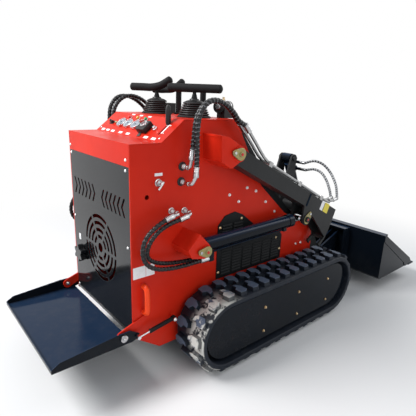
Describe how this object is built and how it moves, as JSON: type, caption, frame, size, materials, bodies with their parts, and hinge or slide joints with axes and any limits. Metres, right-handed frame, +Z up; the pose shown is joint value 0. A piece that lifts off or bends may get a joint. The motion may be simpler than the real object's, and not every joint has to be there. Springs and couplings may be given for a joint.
{
  "type": "mini skid steer loader",
  "caption": "Stand-on tracked mini loader with lift arms, a tilting bucket, hydraulic cylinders, a control console and a folding rear platform.",
  "frame": {"origin": "on the ground, in the middle of the machine's width and of its whole length with platform and bucket", "axes": "+X forward to the bucket, +Y to the machine's left, +Z up"},
  "size_m": [2.3634, 1.022, 1.2234],
  "materials": {
    "red_paint": "gloss orange-red paint",
    "gloss_black": "gloss black paint",
    "satin_black": "satin black paint",
    "engine_grey": "dull grey",
    "soft_rubber": "matt",
    "grip_plastic": "matt black",
    "gauge_metal": "bright",
    "track_rubber": "dusty rubber",
    "zinc_steel": "zinc plated",
    "hose_rubber": "rubber with a spiral guard",
    "arm_grey": "dark grey paint",
    "bright_rod": "hard chrome"
  },
  "bodies": {
    "chassis": {"side_plate_right": "red_paint", "side_plate_left": "red_paint", "console_shell": "red_paint", "rear_panel": "gloss_black", "front_cover": "satin_black", "belly_pan": "satin_black", "engine_block": "engine_grey", "side_grilles": "satin_black", "arm_brackets": "red_paint", "cylinder_brackets": "red_paint", "lever_boots": "soft_rubber", "lever_grips": "grip_plastic", "reference_bar": "grip_plastic", "slot_lever": "grip_plastic", "instruments": "gauge_metal", "air_canister": "grip_plastic", "track_frame_right": "satin_black", "track_frame_left": "satin_black", "track_right": "track_rubber", "track_left": "track_rubber", "track_covers": "gloss_black", "grab_handles": "red_paint", "bulkhead_fittings": "zinc_steel", "upper_hoses": "hose_rubber", "lower_hoses": "hose_rubber", "star_knob": "grip_plastic", "platform_brackets": "red_paint"},
    "lift_arms": {"arm_right": "arm_grey", "arm_left": "arm_grey", "arm_crossmember": "arm_grey", "arm_pipes": "zinc_steel", "front_hoses": "hose_rubber"},
    "loader_tool": {"hitch_plate": "gloss_black", "bucket": "gloss_black"},
    "lift_barrel_right": {"lift_barrel_right": "gloss_black"},
    "lift_barrel_left": {"lift_barrel_left": "gloss_black"},
    "lift_rod_right": {"lift_rod_right": "bright_rod"},
    "lift_rod_left": {"lift_rod_left": "bright_rod"},
    "tilt_barrel": {"tilt_barrel": "gloss_black"},
    "tilt_rod": {"tilt_rod": "bright_rod"},
    "rear_platform": {"platform": "gloss_black"},
    "strut_barrel_right": {"strut_barrel_right": "satin_black"},
    "strut_barrel_left": {"strut_barrel_left": "satin_black"},
    "strut_rod_right": {"strut_rod_right": "bright_rod"},
    "strut_rod_left": {"strut_rod_left": "bright_rod"}
  },
  "joints": [
    {"name": "lift", "type": "hinge", "parent": "chassis", "child": "lift_arms", "pos_m": [-0.43565, 0, 0.928], "axis": [0, -1, 0], "range_deg": [0, 70], "deforming": ["upper_hoses", "lower_hoses"]},
    {"name": "tilt", "type": "hinge", "parent": "lift_arms", "child": "loader_tool", "pos_m": [0.47135, 0, 0.21], "axis": [0, -1, 0], "range_deg": [-45, 20], "deforming": ["front_hoses"]},
    {"name": "platform_fold", "type": "hinge", "parent": "chassis", "child": "rear_platform", "pos_m": [-0.90865, 0, 0.235], "axis": [0, 1, 0], "range_deg": [0, 85]},
    {"name": "lift_cylinder_right", "type": "hinge", "parent": "chassis", "child": "lift_barrel_right", "pos_m": [-0.59165, -0.333, 0.552], "axis": [0, -1, 0], "range_deg": [-1, 48]},
    {"name": "lift_stroke_right", "type": "slide", "parent": "lift_barrel_right", "child": "lift_rod_right", "axis": [0.9999, 0, 0.0161], "range_m": [-0.001, 0.331]},
    {"name": "strut_right", "type": "hinge", "parent": "chassis", "child": "strut_barrel_right", "pos_m": [-0.68665, -0.306, 0.248], "axis": [0, 1, 0], "range_deg": [-12, 2]},
    {"name": "strut_stroke_right", "type": "slide", "parent": "strut_barrel_right", "child": "strut_rod_right", "axis": [-0.9877, 0, -0.1566], "range_m": [-0.001, 0.085]},
    {"name": "lift_cylinder_left", "type": "hinge", "parent": "chassis", "child": "lift_barrel_left", "pos_m": [-0.59165, 0.333, 0.552], "axis": [0, -1, 0], "range_deg": [-1, 48]},
    {"name": "lift_stroke_left", "type": "slide", "parent": "lift_barrel_left", "child": "lift_rod_left", "axis": [0.9999, 0, 0.0161], "range_m": [-0.001, 0.331]},
    {"name": "strut_left", "type": "hinge", "parent": "chassis", "child": "strut_barrel_left", "pos_m": [-0.68665, 0.306, 0.248], "axis": [0, 1, 0], "range_deg": [-12, 2]},
    {"name": "strut_stroke_left", "type": "slide", "parent": "strut_barrel_left", "child": "strut_rod_left", "axis": [-0.9877, 0, -0.1566], "range_m": [-0.001, 0.085]},
    {"name": "tilt_cylinder", "type": "hinge", "parent": "lift_arms", "child": "tilt_barrel", "pos_m": [0.35235, 0, 0.80694], "axis": [0, -1, 0], "range_deg": [-4, 6]},
    {"name": "tilt_stroke", "type": "slide", "parent": "tilt_barrel", "child": "tilt_rod", "axis": [0.4203, 0, -0.9074], "range_m": [-0.056, 0.122]}
  ],
  "couplings": [
    {"joint": "lift_cylinder_right", "follows": "lift", "ratio": 0.66358},
    {"joint": "lift_stroke_right", "follows": "lift", "m_per_rad": 0.26787},
    {"joint": "strut_right", "follows": "platform_fold", "ratio": -0.098369},
    {"joint": "strut_stroke_right", "follows": "platform_fold", "m_per_rad": 0.050442},
    {"joint": "lift_cylinder_left", "follows": "lift", "ratio": 0.66358},
    {"joint": "lift_stroke_left", "follows": "lift", "m_per_rad": 0.26787},
    {"joint": "strut_left", "follows": "platform_fold", "ratio": -0.098369},
    {"joint": "strut_stroke_left", "follows": "platform_fold", "m_per_rad": 0.050442},
    {"joint": "tilt_cylinder", "follows": "tilt", "ratio": -0.08},
    {"joint": "tilt_stroke", "follows": "tilt", "m_per_rad": -0.149}
  ]
}
